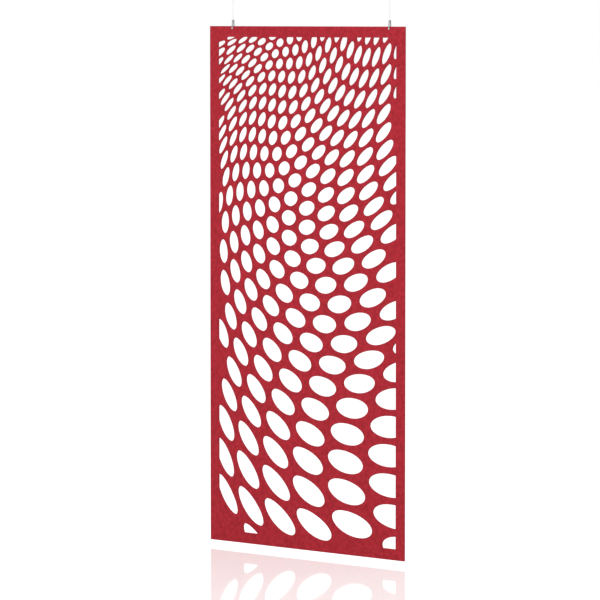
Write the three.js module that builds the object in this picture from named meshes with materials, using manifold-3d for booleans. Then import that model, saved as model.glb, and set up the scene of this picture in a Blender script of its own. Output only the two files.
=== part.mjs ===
// A hanging room divider: a sheet of stiff felt, cut through with a lattice of ovals, that hangs from
// the ceiling on two short steel cables. Millimetres, +X along the sheet, -Y its front, +Z up.
// The origin lies in the ceiling plane, above the middle of the sheet.
import * as THREE from 'three';
import { mergeGeometries, mergeVertices } from 'three/addons/utils/BufferGeometryUtils.js';
import Module from 'manifold-3d';

// The sheet
const SHEET_WIDTH = 1200;
const SHEET_HEIGHT = 2400;
const SHEET_THICK = 9;
const BORDER = 50; // plain rim around the ovals
const SHEET_DROP = 155; // from the ceiling down to the sheet's top edge

// The ovals: a plain lattice of round holes, stretched over the sheet as if drawn on rubber
const OVAL_RADIUS = 0.389; // as a share of the lattice's spacing
const OVAL_LEAST = 7; // a hole of which the border leaves less than this is not cut
const OVAL_SIDES = 0.51; // pairs of sides per root of a millimetre of the oval's two radii
// The first and the last column that has a hole, for each row of the lattice
const FIRST_ROW = -18;
const LATTICE_ROWS = [
  [-13, -12], [-13, -12], [-13, -11], [-12, -10], [-12, -8], [-12, -5], [-11, -2], [-11, 0],
  [-10, 1], [-9, 3], [-9, 4], [-8, 5], [-7, 6], [-6, 6], [-5, 7], [-5, 7], [-4, 7], [-4, 6],
  [-4, 6], [-5, 6], [-9, 6], [-9, 6], [-7, 5], [-6, 4], [-5, 3], [-5, 2],
];
// The rubber is pinned at the middles of these ovals, and lies smoothly in between. Row and column of
// each, then how far it lies from the sheet's left edge and from its top, in percent of that side.
const PINS = [
  [-18, -13, 5.4, 3.4], [-18, -12, 11.2, 2.1], [-16, -13, 4.3, 7], [-16, -11, 17.2, 2.6],
  [-13, -12, 5.3, 10.3], [-12, -10, 15.6, 8.6], [-12, -3, 54.1, 2.8], [-11, -3, 51.6, 6.3],
  [-10, -7, 26.9, 9.7], [-7, -2, 38, 18.4], [-6, -7, 6.7, 22.9], [-6, 5, 85.6, 5.7],
  [-6, 6, 90.9, 1.1], [-5, 0, 42.5, 23.8], [-5, 4, 77.4, 13.7], [-4, -3, 18.7, 27.7],
  [1, 2, 51.9, 41.8], [2, -7, 7.9, 76.9], [2, 4, 74.5, 38.2], [3, -8, 20.8, 92.7],
  [3, -7, 19.3, 85.6], [3, -1, 37.9, 58.7], [3, 5, 88.3, 36.2], [5, -6, 53.9, 95],
  [5, -4, 50.7, 82.8], [5, -3, 51.9, 77.6], [6, -5, 73.2, 94.1], [6, 1, 82, 62.6],
  [6, 2, 87.9, 57.9], [7, -5, 100.4, 97.9], [7, -3, 92.3, 86], [7, 2, 102.2, 59.2],
];

// The hangers
const LEFT_INSET = 144; // from the sheet's side edge
const RIGHT_INSET = 92;
const HANGERS = [
  { side: 'left', x: -SHEET_WIDTH / 2 + LEFT_INSET },
  { side: 'right', x: SHEET_WIDTH / 2 - RIGHT_INSET },
];
const GAP = 0.3; // between pieces that touch
const SWIVEL = 15; // degrees that a cable may lean in its seat
const CABLE_RADIUS = 0.6;
const BALL_RADIUS = 2.5; // the stop pressed onto each end of a cable

const STRAP_WIDTH = 6;
const STRAP_THICK = 1.5;
const STRAP_RISE = 29; // from the sheet's top edge to the top of the bow
const STRAP_KNEE = 5; // height at which the legs start to lean in
const STRAP_FOOT = 15.5; // how far the legs reach down over the sheet
const STRAP_BEND = 2.6; // radius along the middle of the metal
const STRAP_CROWN = 8.6; // width of the bow at its top, between the middles of the metal

const POST_DEPTH = 10; // from the sheet's top edge to the post
const POST_RADIUS = 2.6;
const POST_BORE = 1.8;
const POST_HEAD = 4;
const HEAD_THICK = 1.2;
const HEAD_CROWN = 0.5; // how far a head's middle stands out
const POST_SCREW_RADIUS = 1.5;
const POST_SCREW_REACH = 9; // how deep the screw's shank goes into the post
const SLOT_WIDTH = 1;
const SLOT_DEPTH = 0.8;

const CAP_RADIUS = 10;
const CAP_HEIGHT = 24; // from the ceiling to the cap's lower face
const CAP_WALL = 2.2;
const CAP_FLOOR = 2.7;
const CAP_SHOULDER = 2; // rounding of the cap's lower rim
const BASE_FLANGE = 3;
const BASE_BOSS = 10; // length of the round boss that the cap fits over
const SCREW_RADIUS = 2;
const SCREW_HEAD = 4;
const SCREW_REACH = 24; // how far the screw goes into the ceiling

const ROUND = 20; // sides of a turned piece

const wasm = await Module();
wasm.setup();

function solid(geometry) {
  const bare = geometry.clone();
  bare.deleteAttribute('normal');
  bare.deleteAttribute('uv');
  const whole = mergeVertices(bare, 1e-4);
  return new wasm.Manifold(new wasm.Mesh({
    numProp: 3,
    vertProperties: new Float32Array(whole.attributes.position.array),
    triVerts: new Uint32Array(whole.index.array),
  }));
}

function surface(body) {
  const { vertProperties, triVerts } = body.getMesh();
  const geometry = new THREE.BufferGeometry();
  geometry.setAttribute('position', new THREE.BufferAttribute(new Float32Array(vertProperties), 3));
  geometry.setIndex(new THREE.BufferAttribute(new Uint32Array(triVerts), 1));
  geometry.computeVertexNormals();
  return geometry;
}

// A flat outline given as (x, z), pulled along Y between two values
function pulledAlongY(outline, from, to) {
  const geometry = new THREE.ExtrudeGeometry(new THREE.Shape(outline), {
    depth: to - from, bevelEnabled: false,
  });
  return geometry.rotateX(Math.PI / 2).translate(0, to, 0);
}

// A flat outline given as (y, z), pulled along X about the middle
function pulledAlongX(outline, width) {
  const geometry = new THREE.ExtrudeGeometry(new THREE.Shape(outline), {
    depth: width, bevelEnabled: false,
  });
  const turn = new THREE.Matrix4().makeBasis(
    new THREE.Vector3(0, 1, 0), new THREE.Vector3(0, 0, 1), new THREE.Vector3(1, 0, 0));
  return geometry.translate(0, 0, -width / 2).applyMatrix4(turn);
}

// A profile of (radius, height) points, turned about Z
function turned(profile, sides = ROUND) {
  const points = profile.map(([radius, height]) => new THREE.Vector2(radius, height));
  return new THREE.LatheGeometry(points, sides).rotateX(Math.PI / 2);
}

// ---------------------------------------------------------------- the sheet

// A place on the plain lattice, whose columns stand the height of a triangle apart
function onLattice(row, column) {
  return new THREE.Vector2(column * Math.sqrt(3) / 2, column / 2 - row);
}

const PINNED = PINS.map(([row, column]) => onLattice(row, column));

// How strongly each pin acts on a place of the rubber, and then an even pull
function pulls(place) {
  return [...PINNED.map((pin) => pin.distanceTo(place) ** 3), 1, place.x, place.y];
}

// Solves linear equations. Each row ends in its two results.
function solved(equations) {
  const rows = [...equations];
  for (let k = 0; k < rows.length; k += 1) {
    let best = k;
    for (let r = k + 1; r < rows.length; r += 1) {
      if (Math.abs(rows[r][k]) > Math.abs(rows[best][k])) best = r;
    }
    [rows[k], rows[best]] = [rows[best], rows[k]];
    const lead = rows[k].map((value) => value / rows[k][k]);
    rows.forEach((row, r) => {
      rows[r] = r === k ? lead : row.map((value, c) => value - row[k] * lead[c]);
    });
  }
  return rows.map((row) => row.slice(-2));
}

// The weights with which the pulls bring every pin to its place, without any pull far away
const WEIGHTS = solved([
  ...PINS.map(([, , across, down], k) => [
    ...pulls(PINNED[k]), (across / 100 - 0.5) * SHEET_WIDTH, -down / 100 * SHEET_HEIGHT]),
  [...PINNED.map(() => 1), 0, 0, 0, 0, 0],
  [...PINNED.map((pin) => pin.x), 0, 0, 0, 0, 0],
  [...PINNED.map((pin) => pin.y), 0, 0, 0, 0, 0],
]);

// Where a place on the plain lattice ends up, from the middle of the sheet's top edge
function stretched(place) {
  const end = new THREE.Vector2();
  pulls(place).forEach((pull, k) => end.add(new THREE.Vector2(...WEIGHTS[k]).multiplyScalar(pull)));
  return end;
}

// The outline of one oval: its circle on the lattice, with as many sides as its size needs
function oval(centre) {
  const rim = (angle, radius) => stretched(
    new THREE.Vector2(radius * Math.cos(angle), radius * Math.sin(angle)).add(centre));
  const middle = stretched(centre);
  const size = middle.distanceTo(rim(0, OVAL_RADIUS)) + middle.distanceTo(rim(Math.PI / 2, OVAL_RADIUS));
  const sides = 2 * Math.round(OVAL_SIDES * Math.sqrt(size));
  const radius = OVAL_RADIUS * Math.sqrt((2 * Math.PI / sides) / Math.sin(2 * Math.PI / sides));
  return Array.from({ length: sides }, (_, k) => rim((k + 0.5) / sides * 2 * Math.PI, radius));
}

function ovals() {
  const right = SHEET_WIDTH / 2 - BORDER;
  const bottom = -SHEET_HEIGHT + BORDER;
  const cut = [];
  LATTICE_ROWS.forEach(([first, last], k) => {
    for (let column = first; column <= last; column += 1) {
      const outline = oval(onLattice(FIRST_ROW + k, column));
      const box = new THREE.Box2().setFromPoints(outline);
      const wide = Math.min(box.max.x, right) - Math.max(box.min.x, -right);
      const high = Math.min(box.max.y, -BORDER) - Math.max(box.min.y, bottom);
      if (Math.min(wide, high) >= OVAL_LEAST) cut.push(outline);
    }
  });
  return cut;
}

function rectangle(width, top, bottom) {
  return [[-1, bottom], [1, bottom], [1, top], [-1, top]].map(
    ([side, z]) => new THREE.Vector2(side * width / 2, z));
}

function circle(x, z, radius, sides) {
  return Array.from({ length: sides }, (_, k) => {
    const angle = (k + 0.5) / sides * 2 * Math.PI;
    return new THREE.Vector2(x + radius * Math.cos(angle), z + radius * Math.sin(angle));
  });
}

function sheet() {
  const half = SHEET_THICK / 2;
  const through = half + 1;
  const prisms = solid(mergeGeometries(ovals().map((line) => pulledAlongY(line, -through, through))));
  const inside = solid(pulledAlongY(
    rectangle(SHEET_WIDTH - 2 * BORDER, -BORDER, -SHEET_HEIGHT + BORDER), -through, through));
  let body = solid(pulledAlongY(rectangle(SHEET_WIDTH, 0, -SHEET_HEIGHT), -half, half));
  body = body.subtract(prisms.intersect(inside));
  HANGERS.forEach(({ x }) => {
    const hole = circle(x, -POST_DEPTH, POST_RADIUS + GAP, ROUND / 2);
    body = body.subtract(solid(pulledAlongY(hole, -through, through)));
  });
  return surface(body);
}

// ---------------------------------------------------------------- the hangers

// A ball rests on the rim of a round seat. The seat's radius lets the cable lean by the swivel
// angle before it meets the far side of a plate of this thickness.
const BALL_REACH = BALL_RADIUS + GAP;
const LEAN = THREE.MathUtils.degToRad(SWIVEL);
const CABLE_ROOM = CABLE_RADIUS / Math.cos(LEAN) + GAP;

// The seat's rim, where the ball's middle lies a height over it: radius and height
function seat(thick) {
  let rim = 1;
  for (let step = 0; step < 30; step += 1) {
    const height = Math.sqrt(BALL_REACH ** 2 - rim ** 2);
    rim = CABLE_ROOM + Math.tan(LEAN) * (height + thick);
  }
  return { rim, height: Math.sqrt(BALL_REACH ** 2 - rim ** 2) };
}

const STRAP_SEAT = seat(STRAP_THICK);
const CAP_SEAT = seat(0);
const CAP_MOUTH = CABLE_ROOM + Math.tan(LEAN) * (CAP_SEAT.height + CAP_FLOOR);

const TOP_BALL_Z = -CAP_HEIGHT + CAP_FLOOR + CAP_SEAT.height;
const LOW_BALL_Z = -SHEET_DROP + STRAP_RISE - STRAP_THICK - STRAP_SEAT.height;

// The strap's legs stand just clear of the sheet's faces
const LEG = SHEET_THICK / 2 + GAP + STRAP_THICK / 2;

// A line offset to both sides by half a thickness, as a closed outline
function ribbon(line, thick) {
  const sides = [1, -1].map((side) => line.map((point, k) => {
    const before = line[Math.max(k - 1, 0)];
    const after = line[Math.min(k + 1, line.length - 1)];
    const into = point.clone().sub(before);
    const out = after.clone().sub(point);
    const first = (k > 0 ? into : out).normalize();
    const second = (k < line.length - 1 ? out : into).normalize();
    const normal = new THREE.Vector2(-first.y - second.y, first.x + second.x).normalize();
    const miter = thick / 2 / (normal.x * -first.y + normal.y * first.x);
    return point.clone().addScaledVector(normal, side * miter);
  }));
  return [...sides[0], ...sides[1].reverse()];
}

// A corner rounded between two straight runs, as points on its arc
function rounded(before, corner, after, radius, steps) {
  const into = corner.clone().sub(before).normalize();
  const out = after.clone().sub(corner).normalize();
  const half = Math.acos(THREE.MathUtils.clamp(into.dot(out), -1, 1)) / 2;
  const back = radius * Math.tan(half);
  const turn = Math.sign(into.x * out.y - into.y * out.x);
  const start = corner.clone().addScaledVector(into, -back);
  const centre = start.clone().add(new THREE.Vector2(-into.y, into.x).multiplyScalar(turn * radius));
  const spoke = start.sub(centre);
  return Array.from({ length: steps + 1 }, (_, k) =>
    spoke.clone().rotateAround(new THREE.Vector2(), turn * 2 * half * k / steps).add(centre));
}

function strap() {
  const top = STRAP_RISE - STRAP_THICK / 2;
  const bow = [[-LEG, -STRAP_FOOT], [-LEG, STRAP_KNEE], [-STRAP_CROWN / 2, top],
    [STRAP_CROWN / 2, top], [LEG, STRAP_KNEE], [LEG, -STRAP_FOOT]]
    .map(([y, z]) => new THREE.Vector2(y, z));
  const line = [
    bow[0],
    ...rounded(bow[0], bow[1], bow[2], 4 * STRAP_BEND, 2),
    ...rounded(bow[1], bow[2], bow[3], STRAP_BEND, 5),
    ...rounded(bow[2], bow[3], bow[4], STRAP_BEND, 5),
    ...rounded(bow[3], bow[4], bow[5], 4 * STRAP_BEND, 2),
    bow[5],
  ];
  const half = STRAP_WIDTH / 2;
  const foot = Array.from({ length: 9 }, (_, k) => {
    const angle = Math.PI * (1 + k / 8);
    return new THREE.Vector2(half * Math.cos(angle), half * Math.sin(angle) - STRAP_FOOT + half);
  });
  const front = [...foot, new THREE.Vector2(half, STRAP_RISE), new THREE.Vector2(-half, STRAP_RISE)];
  const reach = LEG + STRAP_THICK;
  const seatHole = turned([
    [0, STRAP_RISE - 2 * STRAP_THICK], [STRAP_SEAT.rim, STRAP_RISE - 2 * STRAP_THICK],
    [STRAP_SEAT.rim, STRAP_RISE + 1], [0, STRAP_RISE + 1],
  ], ROUND / 2);
  const postHole = circle(0, -POST_DEPTH, POST_RADIUS + GAP, ROUND / 2);
  return surface(solid(pulledAlongX(ribbon(line, STRAP_THICK), STRAP_WIDTH + 1))
    .intersect(solid(pulledAlongY(front, -reach, reach)))
    .subtract(solid(seatHole))
    .subtract(solid(pulledAlongY(postHole, -reach, reach))));
}

// Turned pieces that lie along Y point their profile's height towards the back
function lyingAlongY(geometry) {
  return geometry.rotateX(-Math.PI / 2).translate(0, 0, -POST_DEPTH);
}

const HEAD_FACE = LEG + STRAP_THICK / 2 + GAP; // under each head, outside the strap's legs
const HEAD_OUT = HEAD_FACE + HEAD_THICK;

// The post: a domed head in front, and a barrel with a blind bore open to the back
function post() {
  return lyingAlongY(turned([
    [0, -HEAD_OUT - HEAD_CROWN], [POST_HEAD * 0.6, -HEAD_OUT - HEAD_CROWN * 0.6],
    [POST_HEAD, -HEAD_OUT], [POST_HEAD, -HEAD_FACE], [POST_RADIUS, -HEAD_FACE],
    [POST_RADIUS, HEAD_FACE - GAP], [POST_BORE, HEAD_FACE - GAP],
    [POST_BORE, HEAD_FACE - POST_SCREW_REACH - GAP], [0, HEAD_FACE - POST_SCREW_REACH - GAP],
  ]));
}

// Its screw, from the back, with a slot across the head
function postScrew() {
  const body = solid(turned([
    [0, HEAD_FACE - POST_SCREW_REACH], [POST_SCREW_RADIUS, HEAD_FACE - POST_SCREW_REACH],
    [POST_SCREW_RADIUS, HEAD_FACE], [POST_HEAD, HEAD_FACE], [POST_HEAD, HEAD_OUT],
    [POST_HEAD * 0.6, HEAD_OUT + HEAD_CROWN * 0.6], [0, HEAD_OUT + HEAD_CROWN],
  ]));
  const slot = new THREE.BoxGeometry(3 * POST_HEAD, SLOT_WIDTH, 2 * SLOT_DEPTH)
    .translate(0, 0, HEAD_OUT + HEAD_CROWN);
  return lyingAlongY(surface(body.subtract(solid(slot))));
}

// The base against the ceiling: a flange, and a boss that the cap fits over
const BOSS_RADIUS = CAP_RADIUS - CAP_WALL - GAP;
const BOSS_END = -BASE_FLANGE - BASE_BOSS;
const SCREW_SINK = SCREW_HEAD - SCREW_RADIUS; // depth of the 45 degree countersink
const SCREW_FACE = BOSS_END + 2 * GAP; // the screw head's own face, just inside the boss

function base() {
  const hole = SCREW_RADIUS + GAP;
  return turned([
    [hole, SCREW_FACE + SCREW_SINK + GAP], [SCREW_HEAD + GAP, SCREW_FACE + GAP],
    [SCREW_HEAD + GAP, BOSS_END], [BOSS_RADIUS, BOSS_END], [BOSS_RADIUS, -BASE_FLANGE],
    [CAP_RADIUS, -BASE_FLANGE], [CAP_RADIUS, 0], [hole, 0],
    [hole, SCREW_FACE + SCREW_SINK + GAP],
  ]);
}

function ceilingScrew() {
  return turned([
    [0, SCREW_FACE], [SCREW_HEAD, SCREW_FACE], [SCREW_RADIUS, SCREW_FACE + SCREW_SINK],
    [SCREW_RADIUS, SCREW_REACH - 2 * SCREW_RADIUS], [0, SCREW_REACH],
  ], ROUND / 2);
}

// The cap: a cup that hides the base, with the upper ball's seat in its floor
function cap() {
  const brim = -BASE_FLANGE - GAP;
  const floor = -CAP_HEIGHT + CAP_FLOOR;
  const bend = Array.from({ length: 4 }, (_, k) => {
    const angle = Math.PI / 2 * k / 3;
    return [CAP_RADIUS - CAP_SHOULDER + CAP_SHOULDER * Math.sin(angle),
      -CAP_HEIGHT + CAP_SHOULDER - CAP_SHOULDER * Math.cos(angle)];
  });
  const bore = CAP_RADIUS - CAP_WALL;
  return turned([
    [CAP_SEAT.rim, floor], [CAP_MOUTH, -CAP_HEIGHT], ...bend,
    [CAP_RADIUS, brim], [bore, brim], [bore, floor + CAP_WALL / 2],
    [bore - CAP_WALL / 2, floor], [CAP_SEAT.rim, floor],
  ]);
}

function ball() {
  return new THREE.SphereGeometry(BALL_RADIUS, 12, 6).rotateX(Math.PI / 2);
}

// The cable runs straight down from one ball to the other
function cable() {
  const route = new THREE.LineCurve3(
    new THREE.Vector3(0, 0, TOP_BALL_Z - BALL_REACH), new THREE.Vector3(0, 0, LOW_BALL_Z + BALL_REACH));
  const section = new THREE.Shape(circle(0, 0, CABLE_RADIUS, 8));
  return new THREE.ExtrudeGeometry(section, { extrudePath: route, steps: 4, bevelEnabled: false });
}

// ---------------------------------------------------------------- the whole

const model = new THREE.Group();
model.name = 'hanging_divider';

const FELT = { color: 0xac2d37, roughness: 0.95, metalness: 0 };
const STEEL = { color: 0xa8aaac, roughness: 0.35, metalness: 1 };
const BRIGHT = { color: 0xc8cacc, roughness: 0.22, metalness: 1 };
const NICKEL = { color: 0xb9b8b2, roughness: 0.3, metalness: 1 };

function piece(name, geometry, finish, group = model) {
  const mesh = new THREE.Mesh(geometry, new THREE.MeshStandardMaterial(finish));
  mesh.name = name;
  group.add(mesh);
  return mesh;
}

piece('felt_panel', sheet(), FELT).position.set(0, 0, -SHEET_DROP);

HANGERS.forEach(({ side, x }) => {
  const hanger = new THREE.Group();
  hanger.position.x = x;
  model.add(hanger);
  piece(`${side}_ceiling_base`, base(), NICKEL, hanger);
  piece(`${side}_ceiling_screw`, ceilingScrew(), BRIGHT, hanger);
  piece(`${side}_ceiling_cap`, cap(), NICKEL, hanger);
  piece(`${side}_upper_ball`, ball(), BRIGHT, hanger).position.z = TOP_BALL_Z;
  piece(`${side}_cable`, cable(), BRIGHT, hanger);
  piece(`${side}_lower_ball`, ball(), BRIGHT, hanger).position.z = LOW_BALL_Z;
  const fork = new THREE.Group();
  fork.position.z = -SHEET_DROP;
  hanger.add(fork);
  piece(`${side}_strap`, strap(), STEEL, fork);
  piece(`${side}_post`, post(), STEEL, fork);
  piece(`${side}_post_screw`, postScrew(), STEEL, fork);
});

export default model;
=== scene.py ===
import math

import bmesh
import bpy
import numpy as np
from mathutils import Matrix, Vector, geometry


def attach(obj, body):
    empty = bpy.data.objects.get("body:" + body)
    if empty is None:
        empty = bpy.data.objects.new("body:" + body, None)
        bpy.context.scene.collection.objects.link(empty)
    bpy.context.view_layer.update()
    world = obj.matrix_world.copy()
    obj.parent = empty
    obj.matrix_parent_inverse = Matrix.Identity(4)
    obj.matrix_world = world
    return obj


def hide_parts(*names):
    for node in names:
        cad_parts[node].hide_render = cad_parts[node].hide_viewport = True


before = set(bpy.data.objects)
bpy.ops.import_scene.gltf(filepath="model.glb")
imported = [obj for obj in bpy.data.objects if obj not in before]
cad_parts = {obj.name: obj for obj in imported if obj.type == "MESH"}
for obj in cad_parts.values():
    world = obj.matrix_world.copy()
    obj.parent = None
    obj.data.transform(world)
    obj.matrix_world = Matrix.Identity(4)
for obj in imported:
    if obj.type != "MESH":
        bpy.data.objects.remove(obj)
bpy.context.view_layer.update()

MM = 0.001

# ---------------------------------------------------------------- sizes, in millimetres, as in the solids
SHEET_WIDTH = 1200
SHEET_HEIGHT = 2400
SHEET_THICK = 9
BORDER = 50  # plain rim around the ovals
SHEET_DROP = 155  # from the ceiling down to the sheet's top edge
FLOOR_BELOW = 23  # from the sheet's lower edge down to the floor
FELT_EDGE = 0.5  # softness of the felt's cut edges
FELT_CORNER = 1.2  # rounding of the sheet's four corners

OVAL_RADIUS = 0.389  # as a share of the lattice's spacing
OVAL_LEAST = 7  # a hole of which the border leaves less than this is not cut
OVAL_STEP = 9  # length of an oval's outline for each pair of its sides
OVAL_SIDES_LEAST = 32
OVAL_SIDES_MOST = 88
# The first and the last column that has a hole, for each row of the lattice
FIRST_ROW = -18
LATTICE_ROWS = [
    [-13, -12], [-13, -12], [-13, -11], [-12, -10], [-12, -8], [-12, -5], [-11, -2], [-11, 0],
    [-10, 1], [-9, 3], [-9, 4], [-8, 5], [-7, 6], [-6, 6], [-5, 7], [-5, 7], [-4, 7], [-4, 6],
    [-4, 6], [-5, 6], [-9, 6], [-9, 6], [-7, 5], [-6, 4], [-5, 3], [-5, 2],
]
# The rubber is pinned at the middles of these ovals, and lies smoothly in between. Row and column of
# each, then how far it lies from the sheet's left edge and from its top, in percent of that side.
PINS = [
    [-18, -13, 5.4, 3.4], [-18, -12, 11.2, 2.1], [-16, -13, 4.3, 7], [-16, -11, 17.2, 2.6],
    [-13, -12, 5.3, 10.3], [-12, -10, 15.6, 8.6], [-12, -3, 54.1, 2.8], [-11, -3, 51.6, 6.3],
    [-10, -7, 26.9, 9.7], [-7, -2, 38, 18.4], [-6, -7, 6.7, 22.9], [-6, 5, 85.6, 5.7],
    [-6, 6, 90.9, 1.1], [-5, 0, 42.5, 23.8], [-5, 4, 77.4, 13.7], [-4, -3, 18.7, 27.7],
    [1, 2, 51.9, 41.8], [2, -7, 7.9, 76.9], [2, 4, 74.5, 38.2], [3, -8, 20.8, 92.7],
    [3, -7, 19.3, 85.6], [3, -1, 37.9, 58.7], [3, 5, 88.3, 36.2], [5, -6, 53.9, 95],
    [5, -4, 50.7, 82.8], [5, -3, 51.9, 77.6], [6, -5, 73.2, 94.1], [6, 1, 82, 62.6],
    [6, 2, 87.9, 57.9], [7, -5, 100.4, 97.9], [7, -3, 92.3, 86], [7, 2, 102.2, 59.2],
]

LEFT_INSET = 144  # from the sheet's side edge
RIGHT_INSET = 92
HANGERS = {"left": -SHEET_WIDTH / 2 + LEFT_INSET, "right": SHEET_WIDTH / 2 - RIGHT_INSET}
GAP = 0.3  # between pieces that touch
SWIVEL = math.radians(15)  # how far a cable may lean in its seat
CABLE_RADIUS = 0.6
CABLE_LAY = 9  # height of one full turn of the cable's wires
CABLE_END = 1.4  # from a ball's middle to the cable's end inside it
CABLE_SWAY = math.radians(6)  # how far a cable turns in its ball
BALL_RADIUS = 2.5
BALL_SLACK = 0.06  # between a ball's bore and the cable at the end of its sway

STRAP_WIDTH = 6
STRAP_THICK = 1.5
STRAP_RISE = 29  # from the sheet's top edge to the top of the bow
STRAP_KNEE = 5  # height at which the legs start to lean in
STRAP_FOOT = 15.5  # how far the legs reach down over the sheet
STRAP_BEND = 2.6  # radius along the middle of the metal
STRAP_CROWN = 8.6  # width of the bow at its top, between the middles of the metal
STRAP_BEVEL = 0.22
LEG = SHEET_THICK / 2 + GAP + STRAP_THICK / 2

POST_DEPTH = 10  # from the sheet's top edge to the post
POST_RADIUS = 2.6
POST_BORE = 1.8
POST_HEAD = 4
HEAD_THICK = 1.2
HEAD_CROWN = 0.5  # how far a head's middle stands out
HEAD_EDGE = 0.14  # rounding of the post's and its screw's corners
HEAD_FACE = LEG + STRAP_THICK / 2 + GAP  # under each head, outside the strap's legs
HEAD_OUT = HEAD_FACE + HEAD_THICK
POST_SCREW_RADIUS = 1.5
POST_SCREW_REACH = 9  # how deep the screw's shank goes into the post
SLOT_WIDTH = 1
SLOT_DEPTH = 0.8

CAP_RADIUS = 10
CAP_HEIGHT = 24  # from the ceiling to the cap's lower face
CAP_WALL = 2.2
CAP_FLOOR = 2.7
CAP_SHOULDER = 2  # rounding of the cap's lower rim
BASE_FLANGE = 3
BASE_BOSS = 10  # length of the round boss that the cap fits over
BOSS_RADIUS = CAP_RADIUS - CAP_WALL - GAP
BOSS_END = -BASE_FLANGE - BASE_BOSS
SCREW_RADIUS = 2
SCREW_HEAD = 4
SCREW_REACH = 24  # how far the screw goes into the ceiling
SCREW_SINK = SCREW_HEAD - SCREW_RADIUS  # depth of the 45 degree countersink
SCREW_FACE = BOSS_END + 2 * GAP  # the screw head's own face, just inside the boss
SCREW_SHANK = 2  # plain part under the head
SCREW_POINT = 5
THREAD_PITCH = 1.6
THREAD_ROOT = 0.72 * SCREW_RADIUS

CLEAR = 9  # half the length of a cutting tool that goes right through a piece

# A ball rests on the rim of a round seat, wide enough for the cable to lean by the swivel angle
BALL_REACH = BALL_RADIUS + GAP
CABLE_ROOM = CABLE_RADIUS / math.cos(SWIVEL) + GAP


def seat(thick):
    """The radius of a seat's rim and the height of the ball's middle over it, to a micrometre.

    Each depends on the other, so they are worked out by turns until they agree.
    """
    rim = 1
    for _ in range(30):
        height = math.sqrt(BALL_REACH ** 2 - rim ** 2)
        rim = CABLE_ROOM + math.tan(SWIVEL) * (height + thick)
    return round(rim, 3), round(height, 3)


STRAP_SEAT, LOW_BALL_HEIGHT = seat(STRAP_THICK)
CAP_SEAT, TOP_BALL_HEIGHT = seat(0)
CAP_MOUTH = round(CABLE_ROOM + math.tan(SWIVEL) * (TOP_BALL_HEIGHT + CAP_FLOOR), 3)
TOP_BALL_Z = round(-CAP_HEIGHT + CAP_FLOOR + TOP_BALL_HEIGHT, 3)
LOW_BALL_Z = round(-SHEET_DROP + STRAP_RISE - STRAP_THICK - LOW_BALL_HEIGHT, 3)

# ---------------------------------------------------------------- camera, in metres, as the photograph's
CAMERA_PLACE = (13.040, -14.281, -0.089)
CAMERA_TARGET = (-0.0367, 0, -1.4059)
FOCAL_LENGTH = 254.28

scene = bpy.context.scene
scene.view_settings.view_transform = "Standard"


def aim(item, target):
    item.rotation_euler = (Vector(target) - item.location).to_track_quat("-Z", "Y").to_euler()


lens = bpy.data.cameras.new("photo_camera")
lens.lens = FOCAL_LENGTH
lens.sensor_width = 36
lens.clip_end = 200
camera = bpy.data.objects.new("photo_camera", lens)
camera.location = CAMERA_PLACE
aim(camera, CAMERA_TARGET)
scene.collection.objects.link(camera)
scene.camera = camera


# ---------------------------------------------------------------- making meshes
def thing(name, mesh, body, nodes, x=0.0, z=0.0):
    """A piece of the object, from a mesh in metres, placed by x and z in millimetres."""
    made = bpy.data.objects.new(name, mesh)
    made.location = (x * MM, 0, z * MM)
    scene.collection.objects.link(made)
    bpy.context.view_layer.update()
    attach(made, body)
    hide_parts(*nodes)
    return made


def meshed(name, verts, faces, smooth=40):
    """A mesh in metres from points in millimetres, smooth where faces meet under an angle."""
    mesh = bpy.data.meshes.new(name)
    mesh.from_pydata([Vector(v) * MM for v in verts], [], faces)
    mesh.validate()
    mesh.shade_smooth()
    mesh.set_sharp_from_angle(angle=math.radians(smooth))
    return mesh


def fix_normals(mesh):
    bm = bmesh.new()
    bm.from_mesh(mesh)
    bmesh.ops.recalc_face_normals(bm, faces=bm.faces)
    bm.to_mesh(mesh)
    bm.free()


def circle(x, y, radius, sides=48):
    turns = [2 * math.pi * k / sides for k in range(sides)]
    return [(x + radius * math.cos(a), y + radius * math.sin(a)) for a in turns]


def ring_faces(low, high, count):
    """The four-sided faces between two rings of points, each given by its first."""
    return [(low + k, low + (k + 1) % count, high + (k + 1) % count, high + k) for k in range(count)]


def softened(line, radius, closed=False, steps=3):
    """A polyline with each corner rounded."""
    count = len(line)
    out = []
    for k, corner in enumerate(line):
        corner = Vector(corner)
        if not closed and k in (0, count - 1):
            out.append(corner)
            continue
        into = corner - Vector(line[k - 1])
        away = Vector(line[(k + 1) % count]) - corner
        angle = into.angle(away)
        too_slight = angle < 0.2
        if too_slight:
            out.append(corner)
            continue
        back = min(radius * math.tan(angle / 2), into.length * 0.45, away.length * 0.45)
        start = corner - into.normalized() * back
        end = corner + away.normalized() * back
        for s in range(steps + 1):
            t = s / steps
            out.append(start * (1 - t) ** 2 + corner * 2 * t * (1 - t) + end * t * t)
    return out


def lathe(name, profile, sides=48, radius=0.1, closed=False, along_y=False, z=0.0):
    """A turned piece with its corners rounded by a radius.

    The profile is (radius, height), from axis to axis or closed on itself.
    """
    verts, rings = [], []
    for r, h in softened(profile, radius, closed):
        on_axis = r < 1e-6
        ring = [(0, 0, h)] if on_axis else [(x, y, h) for x, y in circle(0, 0, r, sides)]
        rings.append(list(range(len(verts), len(verts) + len(ring))))
        verts += ring
    faces = []
    for low, high in zip(rings, rings[1:] + rings[:1] if closed else rings[1:]):
        if len(low) == 1:
            faces += [(low[0], high[(k + 1) % sides], high[k]) for k in range(sides)]
        elif len(high) == 1:
            faces += [(low[k], low[(k + 1) % sides], high[0]) for k in range(sides)]
        else:
            faces += ring_faces(low[0], high[0], sides)
    if along_y:
        verts = [(x, h, z - y) for x, y, h in verts]
    mesh = meshed(name, verts, faces)
    fix_normals(mesh)
    return mesh


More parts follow.
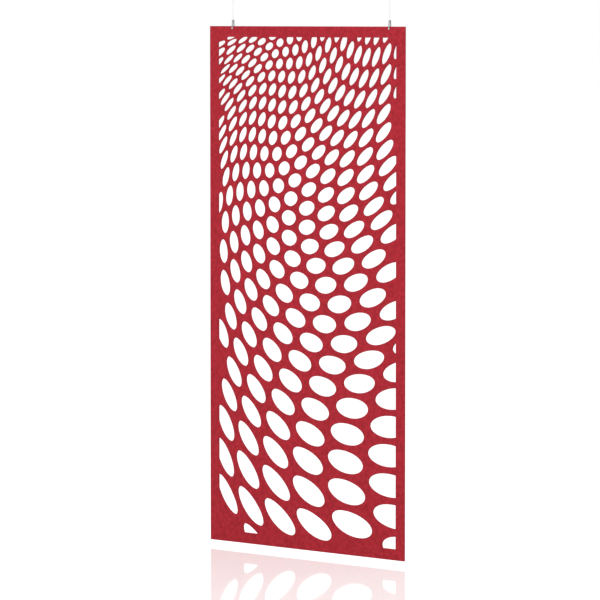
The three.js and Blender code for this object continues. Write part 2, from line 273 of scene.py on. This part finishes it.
def prism(outline, low, high, turn):
    """A closed outline of (u, v) pulled between two heights; turn places (u, v, height)."""
    count = len(outline)
    verts = [turn(u, v, h) for h in (low, high) for u, v in outline]
    faces = [tuple(range(count)), tuple(range(count, 2 * count)), *ring_faces(0, count, count)]
    mesh = bpy.data.meshes.new("prism")
    mesh.from_pydata(verts, [], faces)
    fix_normals(mesh)
    return mesh


def front_view(u, v, h):
    """Places a prism's outline as seen from the front, and its heights from front to back."""
    return u, h, v


def carved(base, cuts, bevel, name):
    """Base with ("DIFFERENCE" or "INTERSECT", mesh) applied in turn, all in millimetres."""
    body = bpy.data.objects.new("body", base)
    scene.collection.objects.link(body)
    tools = []
    for kind, mesh in cuts:
        tool = bpy.data.objects.new("tool", mesh)
        scene.collection.objects.link(tool)
        tools.append(tool)
        step = body.modifiers.new("cut", "BOOLEAN")
        step.operation = kind
        step.solver = "EXACT"
        step.object = tool
    if bevel:
        step = body.modifiers.new("edge", "BEVEL")
        step.width = bevel
        step.segments = 3
        step.limit_method = "ANGLE"
        step.angle_limit = math.radians(50)
        step.use_clamp_overlap = True
    bpy.context.view_layer.update()
    mesh = bpy.data.meshes.new_from_object(body.evaluated_get(bpy.context.evaluated_depsgraph_get()))
    mesh.name = name
    mesh.transform(Matrix.Scale(MM, 4))
    mesh.materials.clear()
    mesh.shade_smooth()
    mesh.set_sharp_from_angle(angle=math.radians(35))
    for item in [body, *tools]:
        bpy.data.objects.remove(item)
    return mesh


# ---------------------------------------------------------------- the cables, laid from seven wires
def cable(side, x):
    """Six wires laid round a seventh. Off is the angle from the middle of the nearest outer wire."""
    low, high = LOW_BALL_Z + CABLE_END, TOP_BALL_Z - CABLE_END
    around, rings = 48, 220
    wire = CABLE_RADIUS / 3
    verts, faces = [], []
    for r in range(rings + 1):
        z = low + (high - low) * r / rings
        for k in range(around):
            a = 2 * math.pi * k / around
            off = (a + math.pi / 6) % (math.pi / 3) - math.pi / 6
            beyond = wire ** 2 - (2 * wire * math.sin(off)) ** 2
            reach = 2 * wire * math.cos(off) + math.sqrt(max(0, beyond))
            a += 2 * math.pi * (z - low) / CABLE_LAY
            verts.append((reach * math.cos(a), reach * math.sin(a), z))
    for r in range(rings):
        faces += ring_faces(r * around, (r + 1) * around, around)
    faces.append(tuple(reversed(range(around))))
    faces.append(tuple(range(rings * around, (rings + 1) * around)))
    made = thing(f"{side}_wire", meshed("wire", verts, faces, 60), f"{side}_cable", [f"{side}_cable"],
                 x)
    path = [(x * MM, 0, (low + (high - low) * k / 24) * MM) for k in range(25)]
    return made, path, (high - low) * MM


def ball(side, which, body, z, x):
    """A ball on the cable's end, bored where the cable goes in, wide enough for the cable to sway."""
    up = 1 if which == "lower" else -1
    depth = BALL_RADIUS / 2
    mouth, inner = [CABLE_RADIUS + reach * math.sin(CABLE_SWAY) + BALL_SLACK
                    for reach in (BALL_RADIUS, depth)]
    first = math.asin(mouth / BALL_RADIUS)
    steps = 26
    turns = [first + (math.pi - first) * k / steps for k in range(steps)]
    arc = [(BALL_RADIUS * math.sin(a), up * BALL_RADIUS * math.cos(a)) for a in turns]
    profile = [(0, up * depth), (inner, up * depth), *arc, (0, -up * BALL_RADIUS)]
    return thing(f"{side}_{which}_stop", lathe("stop", profile, radius=0.05), body, [f"{side}_{which}_ball"],
                 x, z)


cords = {}
for side, x in HANGERS.items():
    wire, path, length = cable(side, x)
    top = ball(side, "upper", f"{side}_top_ball", TOP_BALL_Z, x)
    low = ball(side, "lower", "left_low_ball" if side == "left" else "right_cable", LOW_BALL_Z, x)
    cords[side] = (wire, low, top)


# ---------------------------------------------------------------- the felt sheet
def on_lattice(row, column):
    return np.array([column * math.sqrt(3) / 2, column / 2 - row])


PINNED = np.array([on_lattice(row, column) for row, column, _, _ in PINS])


def pulls(places):
    """How strongly each pin acts on some places of the rubber, and then an even pull."""
    apart = np.linalg.norm(places[:, None] - PINNED[None], axis=2)
    return np.hstack([apart ** 3, np.ones((len(places), 1)), places])


def pin_weights():
    """The weights with which the pulls bring every pin to its place on the sheet."""
    even = np.hstack([np.ones((len(PINNED), 1)), PINNED])
    rows = np.vstack([pulls(PINNED), np.hstack([even.T, np.zeros((3, 3))])])
    ends = [((across / 100 - 0.5) * SHEET_WIDTH, -down / 100 * SHEET_HEIGHT) for _, _, across, down in PINS]
    return np.linalg.solve(rows, np.array(ends + [(0, 0)] * 3))


WEIGHTS = pin_weights()


def stretched(places):
    """Where places on the plain lattice end up, from the middle of the sheet's top edge."""
    return [tuple(map(float, place)) for place in pulls(places) @ WEIGHTS]


def oval(centre, sides):
    turns = [2 * math.pi * k / sides for k in range(sides)]
    return stretched(np.array([centre + OVAL_RADIUS * np.array([math.cos(a), math.sin(a)]) for a in turns]))


def clipped(outline, axis, limit, keep):
    """The part of a closed outline on one side of a line."""
    out = []
    for k, here in enumerate(outline):
        before = outline[k - 1]
        inside, was = keep * (here[axis] - limit) <= 0, keep * (before[axis] - limit) <= 0
        if inside != was:
            t = (limit - before[axis]) / (here[axis] - before[axis])
            out.append(tuple(before[i] + t * (here[i] - before[i]) for i in (0, 1)))
        if inside:
            out.append(here)
    return out


def spaced(outline, least=0.6):
    """A closed outline without points that nearly meet."""
    out = []
    for point in outline:
        if not out or math.dist(point, out[-1]) > least:
            out.append(point)
    while len(out) > 3 and math.dist(out[0], out[-1]) <= least:
        out.pop()
    return out


def area(outline):
    return sum(a[0] * b[1] - b[0] * a[1] for a, b in zip(outline, outline[1:] + outline[:1])) / 2


def ovals():
    """The outline of every hole, cut off by the rim, with the felt on its left."""
    right = SHEET_WIDTH / 2 - BORDER
    bottom = -SHEET_HEIGHT + BORDER
    cut = []
    for k, (first, last) in enumerate(LATTICE_ROWS):
        for column in range(first, last + 1):
            centre = on_lattice(FIRST_ROW + k, column)
            rough = oval(centre, 24)
            xs, zs = [p[0] for p in rough], [p[1] for p in rough]
            wide = min(max(xs), right) - max(min(xs), -right)
            high = min(max(zs), -BORDER) - max(min(zs), bottom)
            if min(wide, high) < OVAL_LEAST:
                continue
            length = sum(math.dist(a, b) for a, b in zip(rough, rough[1:] + rough[:1]))
            line = oval(centre, max(OVAL_SIDES_LEAST, min(OVAL_SIDES_MOST, 2 * round(length / OVAL_STEP))))
            for axis, limit, keep in ((0, right, 1), (0, -right, -1), (1, -BORDER, 1), (1, bottom, -1)):
                line = clipped(line, axis, limit, keep)
            line = spaced(line)
            if len(line) > 2:
                cut.append(line if area(line) < 0 else line[::-1])
    return cut


def offset(outline, by):
    """An outline moved to its left, towards the felt."""
    out = []
    for k, here in enumerate(outline):
        before, after = outline[k - 1], outline[(k + 1) % len(outline)]
        into = (Vector(here) - Vector(before)).normalized()
        away = (Vector(after) - Vector(here)).normalized()
        normal = Vector((-into.y - away.y, into.x + away.x))
        if normal.length < 1e-6:
            normal = Vector((-into.y, into.x))
        normal.normalize()
        miter = min(2.0, 1 / max(0.2, normal.dot(Vector((-into.y, into.x)))))
        out.append((here[0] + normal.x * by * miter, here[1] + normal.y * by * miter))
    return out


def encloses(outline, x, z):
    hit = False
    for a, b in zip(outline, outline[1:] + outline[:1]):
        if (a[1] > z) != (b[1] > z) and x < a[0] + (z - a[1]) / (b[1] - a[1]) * (b[0] - a[0]):
            hit = not hit
    return hit


def felt_outlines():
    """The sheet's own outline, then that of every hole, each with the felt on its left."""
    half = SHEET_WIDTH / 2
    corners = [(-half, -SHEET_HEIGHT), (half, -SHEET_HEIGHT), (half, 0), (-half, 0)]
    outer = [tuple(p) for p in softened(corners, FELT_CORNER, closed=True, steps=4)]
    post_holes = [circle(x, -POST_DEPTH, POST_RADIUS + GAP, 32)[::-1] for x in HANGERS.values()]
    return [outer, *ovals(), *post_holes]


def felt():
    """The sheet: softened walls along every outline, and a flat face between them on each side."""
    outlines = felt_outlines()
    back, edge = SHEET_THICK / 2, FELT_EDGE
    corner = 0.3 * edge
    profile = [(edge, -back), (corner, corner - back), (0, edge - back),
               (0, back - edge), (corner, back - corner), (edge, back)]
    verts, faces, owner, front, edges = [], [], [], [], []
    for number, outline in enumerate(outlines):
        count = len(outline)
        start = len(verts)
        for into, y in profile:
            verts += [(x, y, z) for x, z in offset(outline, into)]
        owner += [number] * (count * len(profile))
        edges += [(len(front) + k, len(front) + (k + 1) % count) for k in range(count)]
        front += [start + k for k in range(count)]
        for ring in range(len(profile) - 1):
            faces += ring_faces(start + ring * count, start + (ring + 1) * count, count)
    points = [Vector((verts[v][0], verts[v][2])) for v in front]
    _, _, triangles, origins, _, _ = geometry.delaunay_2d_cdt(points, edges, [], 0, 1e-5)
    to_back = [(len(profile) - 1) * len(outline) for outline in outlines]
    softer = [offset(outline, edge) for outline in outlines]
    for triangle in triangles:
        names = [front[origins[v][0]] for v in triangle]
        owners = {owner[v] for v in names}
        if len(owners) == 1:
            number = owners.pop()
            x, z = [sum(verts[v][axis] for v in names) / 3 for axis in (0, 2)]
            if encloses(softer[number], x, z) != (number == 0):
                continue
        faces.append(tuple(names))
        faces.append(tuple(v + to_back[owner[v]] for v in reversed(names)))
    mesh = bpy.data.meshes.new("felt")
    mesh.from_pydata([Vector(v) * MM for v in verts], [], faces)
    mesh.validate()
    fix_normals(mesh)
    for polygon in mesh.polygons:
        polygon.use_smooth = abs(polygon.normal.y) < 0.99
    return thing("felt_sheet", mesh, "panel", ["felt_panel"], 0, -SHEET_DROP)


sheet = felt()


# ---------------------------------------------------------------- the hangers
def bow():
    """The strap's middle line as (y, z), with each bend as an arc."""
    top = STRAP_RISE - STRAP_THICK / 2
    crown = STRAP_CROWN / 2
    corners = [(-LEG, -STRAP_FOOT - 1), (-LEG, STRAP_KNEE), (-crown, top), (crown, top), (LEG, STRAP_KNEE),
               (LEG, -STRAP_FOOT - 1)]
    line = [Vector(corners[0])]
    for k in range(1, 5):
        before, corner, after = (Vector(corners[k + d]) for d in (-1, 0, 1))
        into, away = (corner - before).normalized(), (after - corner).normalized()
        half = into.angle(away) / 2
        at_knee = k in (1, 4)
        radius = STRAP_BEND * (4 if at_knee else 1)
        turn = 1 if into.x * away.y - into.y * away.x > 0 else -1
        start = corner - into * radius * math.tan(half)
        middle = start + Vector((-into.y, into.x)) * turn * radius
        for s in range(13):
            line.append(middle + Matrix.Rotation(turn * 2 * half * s / 12, 2) @ (start - middle))
    line.append(Vector(corners[-1]))
    return line


def thickened(line, thick):
    """The closed outline of an open line with a thickness."""
    ways = [(b - a).normalized() for a, b in zip(line, line[1:])]
    normals = [Vector((-into.y - away.y, into.x + away.x)).normalized()
               for into, away in zip([ways[0], *ways], [*ways, ways[-1]])]
    left = [point + normal * thick / 2 for point, normal in zip(line, normals)]
    right = [point - normal * thick / 2 for point, normal in zip(line, normals)]
    return [tuple(point) for point in left + right[::-1]]


def strap(side, x):
    half = STRAP_WIDTH / 2
    over = STRAP_RISE + 2
    ribbon = prism(thickened(bow(), STRAP_THICK), -half - 1, half + 1, lambda u, v, h: (h, u, v))
    foot = [(half * math.cos(a), half * math.sin(a) - STRAP_FOOT + half)
            for a in [math.pi * (1 + k / 24) for k in range(25)]]
    front = prism([*foot, (half, over), (-half, over)], -CLEAR, CLEAR, front_view)
    ball_seat = prism(circle(0, 0, STRAP_SEAT), STRAP_RISE - 4, over, lambda u, v, h: (u, v, h))
    post_hole = prism(circle(0, -POST_DEPTH, POST_RADIUS + GAP), -CLEAR, CLEAR, front_view)
    cuts = [("INTERSECT", front), ("DIFFERENCE", ball_seat), ("DIFFERENCE", post_hole)]
    mesh = carved(ribbon, cuts, STRAP_BEVEL, "strap")
    return thing(f"{side}_stirrup", mesh, "panel", [f"{side}_strap"], x, -SHEET_DROP)


def dome(way):
    """The low dome of a head from its rim to the axis."""
    turns = [math.pi / 2 * k / 8 for k in range(8)]
    arc = [(POST_HEAD * math.cos(a), way * (HEAD_OUT + HEAD_CROWN * math.sin(a))) for a in turns]
    return [*arc, (0, way * (HEAD_OUT + HEAD_CROWN))]


def post(side, x):
    bottom = HEAD_FACE - POST_SCREW_REACH - GAP
    profile = [*dome(-1)[::-1], (POST_HEAD, -HEAD_FACE), (POST_RADIUS, -HEAD_FACE),
               (POST_RADIUS, HEAD_FACE - GAP), (POST_BORE, HEAD_FACE - GAP), (POST_BORE, bottom), (0, bottom)]
    mesh = lathe("post", profile, 64, HEAD_EDGE, along_y=True, z=-POST_DEPTH)
    return thing(f"{side}_barrel", mesh, "panel", [f"{side}_post"], x, -SHEET_DROP)


def post_screw(side, x):
    end = HEAD_FACE - POST_SCREW_REACH
    profile = [(0, end), (POST_SCREW_RADIUS, end), (POST_SCREW_RADIUS, HEAD_FACE), (POST_HEAD, HEAD_FACE),
               *dome(1)]
    turned = lathe("screw", profile, 64, HEAD_EDGE, along_y=True, z=-POST_DEPTH)
    turned.transform(Matrix.Scale(1 / MM, 4))
    top = HEAD_OUT + HEAD_CROWN
    low, high = -POST_DEPTH - SLOT_WIDTH / 2, -POST_DEPTH + SLOT_WIDTH / 2
    slot = prism([(-CLEAR, low), (CLEAR, low), (CLEAR, high), (-CLEAR, high)],
                 top - SLOT_DEPTH, top + 2, front_view)
    mesh = carved(turned, [("DIFFERENCE", slot)], 0, "post_screw")
    return thing(f"{side}_slotted_screw", mesh, "panel", [f"{side}_post_screw"], x, -SHEET_DROP)


def ceiling_base(side, x):
    hole = SCREW_RADIUS + GAP
    profile = [(hole, SCREW_FACE + SCREW_SINK + GAP), (SCREW_HEAD + GAP, SCREW_FACE + GAP),
               (SCREW_HEAD + GAP, BOSS_END), (BOSS_RADIUS, BOSS_END), (BOSS_RADIUS, -BASE_FLANGE),
               (CAP_RADIUS, -BASE_FLANGE), (CAP_RADIUS, 0), (hole, 0)]
    mesh = lathe("base", profile, 96, radius=0.2, closed=True)
    return thing(f"{side}_flange", mesh, "ceiling", [f"{side}_ceiling_base"], x)


def ceiling_cap(side, x):
    brim = -BASE_FLANGE - GAP
    floor = -CAP_HEIGHT + CAP_FLOOR
    bore = CAP_RADIUS - CAP_WALL
    middle = (CAP_RADIUS - CAP_SHOULDER, -CAP_HEIGHT + CAP_SHOULDER)
    bend = [(middle[0] + CAP_SHOULDER * math.sin(a), middle[1] - CAP_SHOULDER * math.cos(a))
            for a in [math.pi / 2 * k / 12 for k in range(13)]]
    profile = [(CAP_SEAT, floor), (CAP_MOUTH, -CAP_HEIGHT), *bend, (CAP_RADIUS, brim), (bore, brim),
               (bore, floor + CAP_WALL / 2), (bore - CAP_WALL / 2, floor)]
    mesh = lathe("cap", profile, 96, radius=0.12, closed=True)
    return thing(f"{side}_cup", mesh, "ceiling", [f"{side}_ceiling_cap"], x)


def ceiling_screw(side, x):
    """A countersunk screw whose thread grows out of a plain shank and runs out in a point."""
    around, per_turn, growing = 32, 8, 6
    start = SCREW_FACE + SCREW_SINK
    threaded = SCREW_REACH - start - SCREW_SHANK
    steps = int(threaded / (THREAD_PITCH / per_turn))
    # The head with its rim a little rounded, the countersink, and the plain shank
    plain = [(SCREW_HEAD - 0.15, SCREW_FACE), (SCREW_HEAD, SCREW_FACE + 0.12), (SCREW_RADIUS, start),
             (SCREW_RADIUS, start + SCREW_SHANK)]
    rings = [circle(0, 0, radius, around) for radius, _ in plain]
    heights = [height for _, height in plain]
    for s in range(1, steps):
        h = start + SCREW_SHANK + threaded * s / steps
        body = THREAD_ROOT + (SCREW_RADIUS - THREAD_ROOT) * (1 - min(1, s / growing))
        taper = 0.25 + 0.75 * min(1, (SCREW_REACH - h) / SCREW_POINT)
        ring = []
        for k in range(around):
            crest = 1 - abs(2 * ((h / THREAD_PITCH - k / around) % 1) - 1)
            r = (body + (SCREW_RADIUS - body) * max(0, crest * 1.6 - 0.6)) * taper
            ring.append((r * math.cos(2 * math.pi * k / around), r * math.sin(2 * math.pi * k / around)))
        rings.append(ring)
        heights.append(h)
    verts = [(0, 0, SCREW_FACE), *[(px, py, h) for ring, h in zip(rings, heights) for px, py in ring]]
    verts.append((0, 0, SCREW_REACH))
    firsts = [1 + around * number for number in range(len(rings))]
    faces = [(0, firsts[0] + (k + 1) % around, firsts[0] + k) for k in range(around)]
    for a, b in zip(firsts, firsts[1:]):
        faces += ring_faces(a, b, around)
    faces += [(firsts[-1] + k, firsts[-1] + (k + 1) % around, len(verts) - 1) for k in range(around)]
    mesh = meshed("ceiling_screw", verts, faces, 50)
    fix_normals(mesh)
    return thing(f"{side}_wood_screw", mesh, "ceiling", [f"{side}_ceiling_screw"], x)


metal = {"satin_steel": [], "turned_steel": [], "bright_steel": [], "satin_nickel": [], "drawn_wire": []}
for side, x in HANGERS.items():
    wire, low, top = cords[side]
    metal["drawn_wire"].append(wire)
    metal["bright_steel"] += [low, top, ceiling_screw(side, x)]
    metal["satin_steel"].append(strap(side, x))
    metal["turned_steel"] += [post(side, x), post_screw(side, x)]
    metal["satin_nickel"] += [ceiling_base(side, x), ceiling_cap(side, x)]


# ---------------------------------------------------------------- materials
class Nodes:
    """The node tree of a material or of the world, filled in by short calls."""

    def __init__(self, owner, output="OutputMaterial"):
        self.owner = owner
        owner.use_nodes = True
        self.tree = owner.node_tree
        self.tree.nodes.clear()
        self.output = self.add(output)

    def finish(self, shader):
        self.set(self.output.inputs[0], shader.outputs[0])
        return self.owner

    def add(self, kind, inputs=None, **settings):
        node = self.tree.nodes.new("ShaderNode" + kind)
        for key, value in settings.items():
            setattr(node, key, value)
        for key, value in (inputs or {}).items():
            self.set(node.inputs[key], value)
        return node

    def set(self, socket, value):
        if isinstance(value, bpy.types.NodeSocket):
            self.tree.links.new(value, socket)
        else:
            socket.default_value = value

    def math(self, operation, a, b=0.0):
        return self.add("Math", {0: a, 1: b}, operation=operation).outputs[0]

    def mix(self, amount, a, b):
        return self.add("Mix", {0: amount, 6: a, 7: b}, data_type="RGBA").outputs[2]

    def ramp(self, value, stops):
        node = self.add("ValToRGB", {"Fac": value})
        for element, (at, level) in zip(node.color_ramp.elements, stops):
            element.position = at
            element.color = (level, level, level, 1)
        return node.outputs[0]

    def between(self, value, start, end, low, high):
        """A value that goes from low to high as another goes from start to end."""
        return self.add("MapRange", {
            "Value": value, "From Min": start, "From Max": end, "To Min": low, "To Max": high}).outputs[0]

    def noise(self, where, per_metre, detail=2.0, turn=0.0, shift=0.0, bend=0.0):
        """Noise with its own number of grains per metre along each axis, turned about Y in degrees."""
        place = self.add("Mapping", {
            "Vector": where, "Location": (shift, shift, shift), "Rotation": (0, math.radians(turn), 0),
            "Scale": [1 / count for count in per_metre]}, vector_type="TEXTURE")
        return self.add("TexNoise", {
            "Vector": place.outputs[0], "Scale": 1.0, "Detail": detail, "Distortion": bend}).outputs[0]


DEEP_RED = (0.305, 0.0105, 0.0190, 1)
PLAIN_RED = (0.468, 0.0225, 0.0365, 1)
LIGHT_FIBRE = (0.580, 0.045, 0.063, 1)
DARK_FIBRE = (0.205, 0.006, 0.012, 1)
# Painted shade: the colour that the low spots of the felt's fluff are darkened towards
PAINTED_HOLLOW_SHADE = (0.235, 0.008, 0.015, 1)
FELT_SHEEN = (0.9, 0.28, 0.32, 1)


def felt_material():
    """Pressed felt, dyed through: matted fibres on its faces, pressed layers on its cut edges, painted shade
    in its fluff's hollows.
    """
    n = Nodes(bpy.data.materials.new("pressed_felt"))
    spot = n.add("TexCoord")
    where = spot.outputs["Object"]
    facing = n.add("SeparateXYZ", {"Vector": spot.outputs["Normal"]})
    on_face = n.ramp(n.math("ABSOLUTE", facing.outputs[1]), [(0.45, 0), (0.9, 1)])

    def strands(shift, turns):
        """Fibres about 7 mm long and half a millimetre wide, which lie across each other."""
        found = None
        for turn in turns:
            run = n.noise(where, (2100, 900, 150), 2, turn, shift, 0.5)
            thread = n.ramp(run, [(0.54, 0), (0.68, 1)])
            found = thread if found is None else n.math("MAXIMUM", found, thread)
        return found

    light = strands(0.0, (8, 51, 97, 142))
    dark = strands(0.37, (28, 74, 121, 166))
    layers = n.ramp(n.noise(where, (140, 1700, 140), 3), [(0.38, 0), (0.62, 1)])
    light = n.mix(on_face, layers, light)
    fluff = n.noise(where, (800, 800, 800), 4)
    mottle = n.ramp(n.noise(where, (55, 55, 55), 3), [(0.32, 0), (0.68, 1)])
    tone = n.mix(mottle, DEEP_RED, PLAIN_RED)
    tone = n.mix(n.math("MULTIPLY", light, 0.32), tone, LIGHT_FIBRE)
    tone = n.mix(n.math("MULTIPLY", dark, 0.30), tone, DARK_FIBRE)
    # Painted shade: where the fluff is low, which the bump below makes into hollows, the red is darkened
    tone = n.mix(n.ramp(fluff, [(0.35, 0.22), (0.65, 0)]), tone, PAINTED_HOLLOW_SHADE)
    height = n.math("ADD", n.math("MULTIPLY", light, 0.6), n.math("MULTIPLY", fluff, 0.8))
    bump = n.add("Bump", {"Strength": 0.55, "Distance": 0.00035, "Height": height})
    return n.finish(n.add("BsdfPrincipled", {
        "Base Color": tone, "Roughness": 0.94, "Specular IOR Level": 0.18, "Sheen Weight": 0.12,
        "Sheen Roughness": 0.5, "Sheen Tint": FELT_SHEEN, "Normal": bump.outputs[0]}))


def metal_material(name, colour, streak, rough, grain, depth):
    """Metal with fine drawn or turned lines and a trace of handling."""
    n = Nodes(bpy.data.materials.new(name))
    where = n.add("TexCoord").outputs["Object"]
    lines = n.noise(where, grain, 3)
    smudge = n.noise(where, (260, 260, 260), 3)
    tone = n.mix(n.ramp(lines, [(0.3, 0), (0.7, 1)]), streak, colour)
    roughness = n.between(smudge, 0.3, 0.7, rough - 0.06, rough + 0.08)
    bump = n.add("Bump", {"Strength": 0.25, "Distance": depth, "Height": lines})
    return n.finish(n.add("BsdfPrincipled", {
        "Base Color": tone, "Metallic": 1.0, "Roughness": roughness, "Normal": bump.outputs[0]}))


# Each metal's colour, its darker streaks, its roughness, streaks per metre along each axis and their depth
finishes = {
    "satin_steel": ((0.50, 0.51, 0.52, 1), (0.33, 0.34, 0.35, 1), 0.34, (3500, 400, 60), 0.00003),
    "turned_steel": ((0.84, 0.84, 0.83, 1), (0.70, 0.70, 0.69, 1), 0.26, (900, 2500, 900), 0.00001),
    "bright_steel": ((0.66, 0.67, 0.68, 1), (0.54, 0.55, 0.56, 1), 0.2, (60, 60, 2500), 0.00001),
    "drawn_wire": ((0.60, 0.61, 0.62, 1), (0.44, 0.45, 0.46, 1), 0.3, (900, 900, 90), 0.00001),
    "satin_nickel": ((0.52, 0.50, 0.465, 1), (0.42, 0.405, 0.375, 1), 0.30, (30, 30, 3200), 0.00002),
}
for name, pieces in metal.items():
    finish = metal_material(name, *finishes[name])
    for piece in pieces:
        piece.data.materials.append(finish)
sheet.data.materials.append(felt_material())

# ---------------------------------------------------------------- floor, light and background, in metres
FLOOR_HALF = 60
POLISH_NEAR = 0.62  # how much of the object's image the floor shows by the sheet's left corner
POLISH_FAR = 0.36  # and how much of it further away
POLISH_FADE = 2.2  # distance over which the polish fades
FLOOR_GLOW = 0.90  # with no polish; polish adds its own image of the white world
GLOW_LOSS = 0.54  # share of the polish that the glow makes room for
WORLD_LIGHT = 0.62  # the world's strength as a light; it is seen at 1
WHITE = (1, 1, 1, 1)


def white_floor():
    """White, and polished: the object's image in it fades away from the sheet's left corner."""
    n = Nodes(bpy.data.materials.new("white_floor"))
    seen = n.add("LightPath").outputs["Is Camera Ray"]
    where = n.add("TexCoord").outputs["Object"]
    corner = (-SHEET_WIDTH / 2 * MM, 0, 0)
    away = n.add("VectorMath", {0: where, 1: corner}, operation="DISTANCE").outputs["Value"]
    polish = n.between(away, 0.0, POLISH_FADE, POLISH_NEAR, POLISH_FAR)
    glow = n.math("SUBTRACT", FLOOR_GLOW, n.math("MULTIPLY", polish, GLOW_LOSS))
    lit = n.add("BsdfDiffuse", {"Color": (0.9, 0.9, 0.9, 1)})
    shade = n.add("BsdfDiffuse", {"Color": (0.12, 0.12, 0.12, 1)})
    plain = n.add("Emission", {"Color": WHITE, "Strength": glow})
    image = n.add("BsdfGlossy", {"Color": polish, "Roughness": 0.05})
    white = n.add("AddShader", {0: shade.outputs[0], 1: plain.outputs[0]})
    shown = n.add("AddShader", {0: white.outputs[0], 1: image.outputs[0]})
    return n.finish(n.add("MixShader", {0: seen, 1: lit.outputs[0], 2: shown.outputs[0]}))


def white_world():
    """White to the camera and in reflections, and duller as a light."""
    n = Nodes(bpy.data.worlds.new("studio"), "OutputWorld")
    ray = n.add("LightPath").outputs
    seen = n.math("MAXIMUM", ray["Is Camera Ray"], ray["Is Glossy Ray"])
    seen = n.math("MAXIMUM", seen, ray["Is Transmission Ray"])
    return n.finish(n.add("Background", {
        "Color": WHITE, "Strength": n.between(seen, 0.0, 1.0, WORLD_LIGHT, 1.0)}))


def lamp(name, where, size, watts, in_metal=False):
    light = bpy.data.lights.new(name, "AREA")
    light.size = size
    light.energy = watts
    made = bpy.data.objects.new(name, light)
    made.location = where
    aim(made, (0, 0, -1.3))
    scene.collection.objects.link(made)
    made.visible_camera = False
    made.visible_glossy = in_metal


plane = bpy.data.meshes.new("floor")
square = [(-1, -1), (1, -1), (1, 1), (-1, 1)]
plane.from_pydata([(x * FLOOR_HALF, y * FLOOR_HALF, 0) for x, y in square], [], [(0, 1, 2, 3)])
plane.materials.append(white_floor())
floor = bpy.data.objects.new("floor", plane)
floor.location.z = -(SHEET_DROP + SHEET_HEIGHT + FLOOR_BELOW) * MM
scene.collection.objects.link(floor)

scene.world = white_world()
lamp("key", (3.2, -5.0, 2.4), 3.0, 190, in_metal=True)
lamp("fill", (-4.5, -4.0, 0.5), 3.5, 70)
lamp("back_fill", (1.5, 5.5, 1.5), 3.5, 150)
